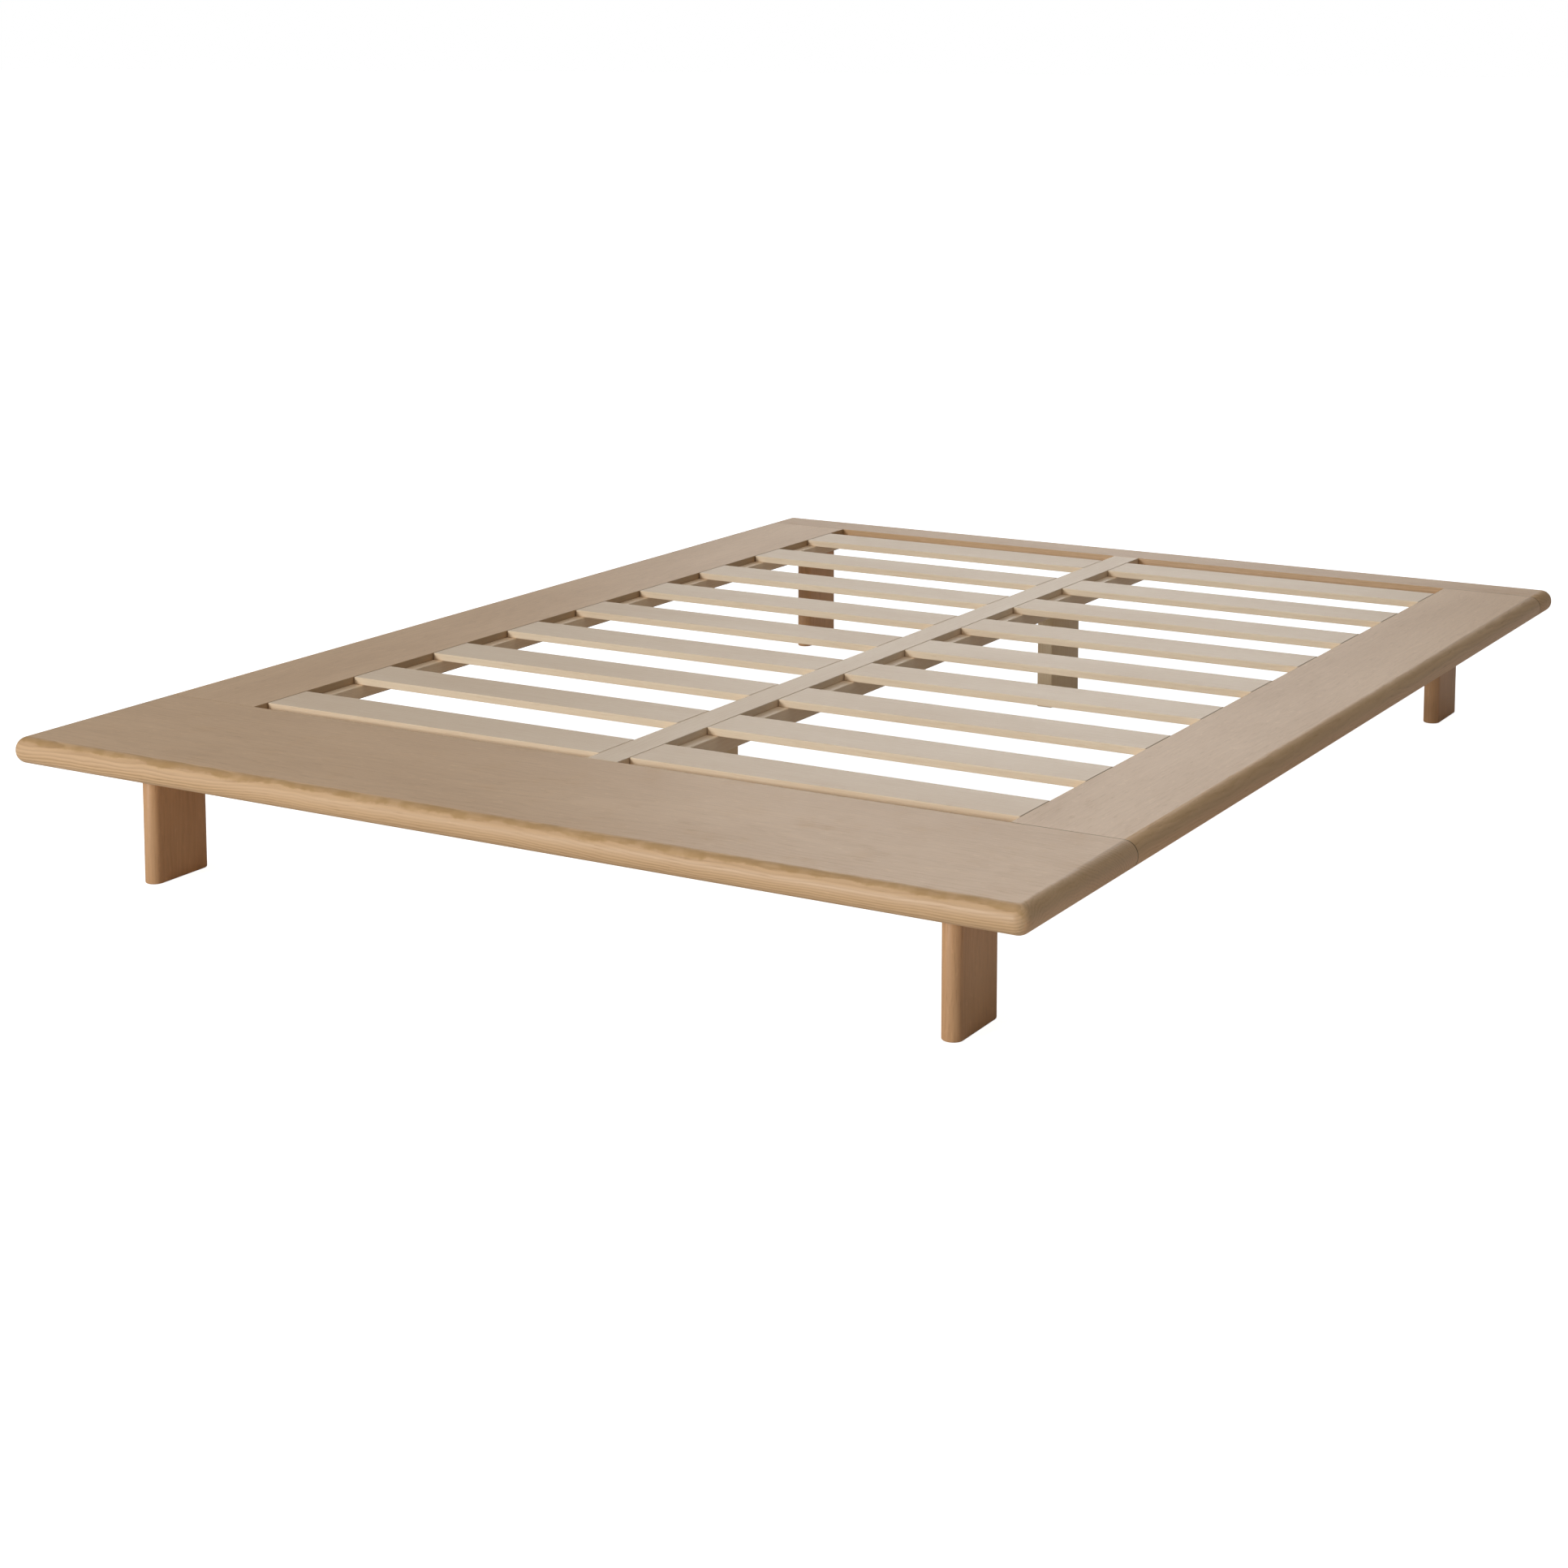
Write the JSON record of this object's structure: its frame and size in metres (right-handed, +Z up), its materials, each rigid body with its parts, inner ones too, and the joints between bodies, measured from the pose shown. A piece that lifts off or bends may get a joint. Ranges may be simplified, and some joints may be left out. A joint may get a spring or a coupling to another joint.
{
  "type": "bed frame",
  "caption": "Low wooden platform bed frame with a wide round-edged border, flush slats either side of a centre beam, and slab legs.",
  "frame": {"origin": "on the floor under the middle of the frame's outline", "axes": "+X towards the right side, +Y from the front, with the widest board, to the back, +Z up"},
  "size_m": [1.67, 2.31, 0.23],
  "materials": {
    "border_oak": "pale matt oiled oak",
    "slat_oak": "pale matt oiled oak",
    "beam_oak": "pale matt oiled oak",
    "leg_oak": "matt oiled oak",
    "ledger_oak": "matt oiled oak",
    "tenon_beech": "bare beech",
    "zinc_steel": "zinc-plated steel"
  },
  "bodies": {
    "root": {"back_rail": "border_oak", "centre_beam": "beam_oak", "centre_leg_back": "leg_oak", "centre_leg_back_stud_1": "zinc_steel", "centre_leg_back_stud_2": "zinc_steel", "centre_leg_front": "leg_oak", "centre_leg_front_stud_1": "zinc_steel", "centre_leg_front_stud_2": "zinc_steel", "centre_strip": "beam_oak", "corner_plate_back_left": "zinc_steel", "corner_plate_back_right": "zinc_steel", "corner_plate_front_left": "zinc_steel", "corner_plate_front_right": "zinc_steel", "corner_tenon_back_left": "tenon_beech", "corner_tenon_back_right": "tenon_beech", "corner_tenon_front_left": "tenon_beech", "corner_tenon_front_right": "tenon_beech", "front_rail": "border_oak", "ledger_left": "ledger_oak", "ledger_right": "ledger_oak", "left_rail": "border_oak", "leg_back_left": "leg_oak", "leg_back_left_stud_1": "zinc_steel", "leg_back_left_stud_2": "zinc_steel", "leg_back_right": "leg_oak", "leg_back_right_stud_1": "zinc_steel", "leg_back_right_stud_2": "zinc_steel", "leg_front_left": "leg_oak", "leg_front_left_stud_1": "zinc_steel", "leg_front_left_stud_2": "zinc_steel", "leg_front_right": "leg_oak", "leg_front_right_stud_1": "zinc_steel", "leg_front_right_stud_2": "zinc_steel", "plate_screw_back_left_1": "zinc_steel", "plate_screw_back_left_2": "zinc_steel", "plate_screw_back_right_1": "zinc_steel", "plate_screw_back_right_2": "zinc_steel", "plate_screw_front_left_1": "zinc_steel", "plate_screw_front_left_2": "zinc_steel", "plate_screw_front_right_1": "zinc_steel", "plate_screw_front_right_2": "zinc_steel", "right_rail": "border_oak", "slat_left_1": "slat_oak", "slat_left_2": "slat_oak", "slat_left_3": "slat_oak", "slat_left_4": "slat_oak", "slat_left_5": "slat_oak", "slat_left_6": "slat_oak", "slat_left_7": "slat_oak", "slat_left_8": "slat_oak", "slat_left_9": "slat_oak", "slat_right_1": "slat_oak", "slat_right_2": "slat_oak", "slat_right_3": "slat_oak", "slat_right_4": "slat_oak", "slat_right_5": "slat_oak", "slat_right_6": "slat_oak", "slat_right_7": "slat_oak", "slat_right_8": "slat_oak", "slat_right_9": "slat_oak"}
  },
  "joints": []
}
